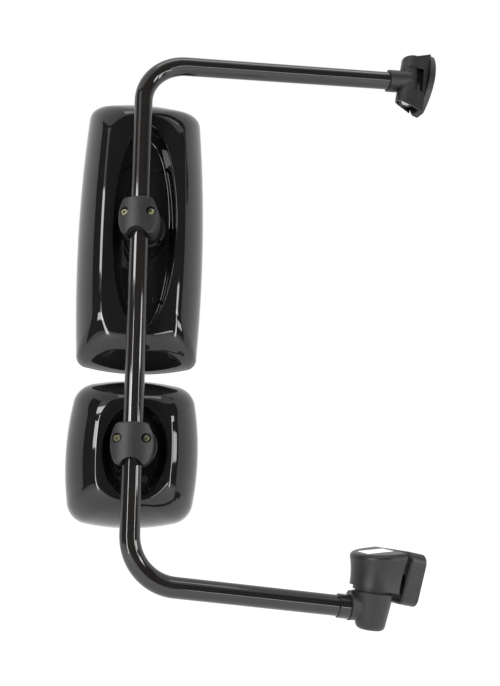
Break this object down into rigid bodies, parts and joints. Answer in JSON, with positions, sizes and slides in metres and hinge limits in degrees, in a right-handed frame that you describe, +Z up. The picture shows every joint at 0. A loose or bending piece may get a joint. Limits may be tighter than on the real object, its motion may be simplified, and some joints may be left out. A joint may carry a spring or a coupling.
{
  "type": "towing mirror",
  "caption": "Passenger-side truck towing mirror: a tall flat head and a wide-angle head clamped to a folding C-shaped tube between two door brackets.",
  "frame": {"origin": "centre of the lower bracket's mounting face, where it bolts to the truck", "axes": "+X inboard towards the truck, +Y rearwards, the way the glass faces, +Z up along the vertical run of the tube"},
  "size_m": [0.5315, 0.1328, 0.8393],
  "materials": {
    "gloss_black_paint": "gloss powder coat",
    "gloss_black_plastic": "high gloss moulded",
    "matte_black_plastic": "fine grain",
    "textured_black_plastic": "fine spark texture",
    "textured_black_casting": "textured black coating",
    "grey_casting": "bare die casting",
    "white_label": "blank paper label",
    "black_rubber": "matte",
    "bronze": "oiled",
    "nylon": "natural nylon",
    "plain_steel": "zinc plated",
    "black_steel": "black oxide",
    "yellow_zinc": "yellow zinc",
    "mirror_glass": "first-surface reflective"
  },
  "bodies": {
    "base": {"base_bracket": "textured_black_casting", "base_gasket": "black_rubber", "base_cover": "textured_black_plastic", "blank_label": "white_label", "pivot_bush": "bronze", "friction_ring": "matte_black_plastic"},
    "arm": {"arm_tube": "gloss_black_paint", "lower_elbow": "textured_black_casting", "lower_sleeve": "gloss_black_paint", "upper_elbow": "textured_black_casting", "upper_pivot_bush": "bronze", "sleeve_grub_screws": "black_steel", "pivot_stud": "plain_steel", "pivot_washer": "plain_steel", "pivot_disc_springs": "plain_steel", "pivot_nut": "plain_steel"},
    "top_mount": {"top_bracket": "textured_black_casting", "top_gasket": "black_rubber", "top_cover": "textured_black_plastic", "top_pivot_pin": "plain_steel", "top_pivot_nut": "plain_steel"},
    "upper_clamp": {"upper_clamp_cap": "textured_black_casting", "upper_clamp_saddle": "textured_black_casting", "upper_clamp_liner": "black_rubber", "upper_clamp_screws": "yellow_zinc", "upper_clamp_nuts": "yellow_zinc"},
    "upper_swivel": {"upper_seat_front": "nylon", "upper_seat_rear": "nylon"},
    "upper_head": {"upper_housing": "gloss_black_plastic", "upper_bezel": "matte_black_plastic", "upper_glass": "mirror_glass", "upper_glass_tray": "matte_black_plastic", "upper_support_plate": "plain_steel", "upper_socket_cup": "grey_casting", "upper_socket_ring": "grey_casting", "upper_post_screws": "black_steel", "upper_cup_screws": "plain_steel"},
    "lower_clamp": {"lower_clamp_cap": "textured_black_casting", "lower_clamp_saddle": "textured_black_casting", "lower_clamp_liner": "black_rubber", "lower_clamp_screws": "yellow_zinc", "lower_clamp_nuts": "yellow_zinc"},
    "lower_swivel": {"lower_seat_front": "nylon", "lower_seat_rear": "nylon"},
    "lower_head": {"lower_housing": "gloss_black_plastic", "lower_bezel": "matte_black_plastic", "lower_glass": "mirror_glass", "lower_glass_tray": "matte_black_plastic", "lower_support_plate": "plain_steel", "lower_socket_cup": "grey_casting", "lower_socket_ring": "grey_casting", "lower_post_screws": "black_steel", "lower_cup_screws": "plain_steel"}
  },
  "joints": [
    {"name": "arm_fold", "type": "hinge", "parent": "base", "child": "arm", "pos_m": [-0.056, -0.026, -0.03464], "axis": [0.129, 0, 0.9916], "range_deg": [-55, 75]},
    {"name": "top_bracket_swivel", "type": "hinge", "parent": "arm", "child": "top_mount", "pos_m": [0.04361, -0.026, 0.73126], "axis": [0.129, 0, 0.9916], "range_deg": [-75, 55]},
    {"name": "upper_clamp_turn", "type": "hinge", "parent": "arm", "child": "upper_clamp", "pos_m": [-0.36, -0.026, 0.47], "axis": [0, 0, 1], "range_deg": [-35, 35]},
    {"name": "upper_head_pan", "type": "hinge", "parent": "upper_clamp", "child": "upper_swivel", "pos_m": [-0.35178, 0.00699, 0.47], "axis": [0, 0, 1], "range_deg": [-20, 8]},
    {"name": "upper_head_tilt", "type": "hinge", "parent": "upper_swivel", "child": "upper_head", "pos_m": [-0.35178, 0.00699, 0.47], "axis": [0.9989, -0.0471, -0.0056], "range_deg": [-3.5, 3.5]},
    {"name": "lower_clamp_turn", "type": "hinge", "parent": "arm", "child": "lower_clamp", "pos_m": [-0.36, -0.026, 0.169], "axis": [0, 0, 1], "range_deg": [-35, 35]},
    {"name": "lower_head_pan", "type": "hinge", "parent": "lower_clamp", "child": "lower_swivel", "pos_m": [-0.35586, 0.00775, 0.169], "axis": [0, 0, 1], "range_deg": [-18, 12]},
    {"name": "lower_head_tilt", "type": "hinge", "parent": "lower_swivel", "child": "lower_head", "pos_m": [-0.35586, 0.00775, 0.169], "axis": [0.9998, -0.0175, -0.014], "range_deg": [-5, 5]}
  ],
  "couplings": [
    {"joint": "top_bracket_swivel", "follows": "arm_fold", "ratio": -1}
  ]
}
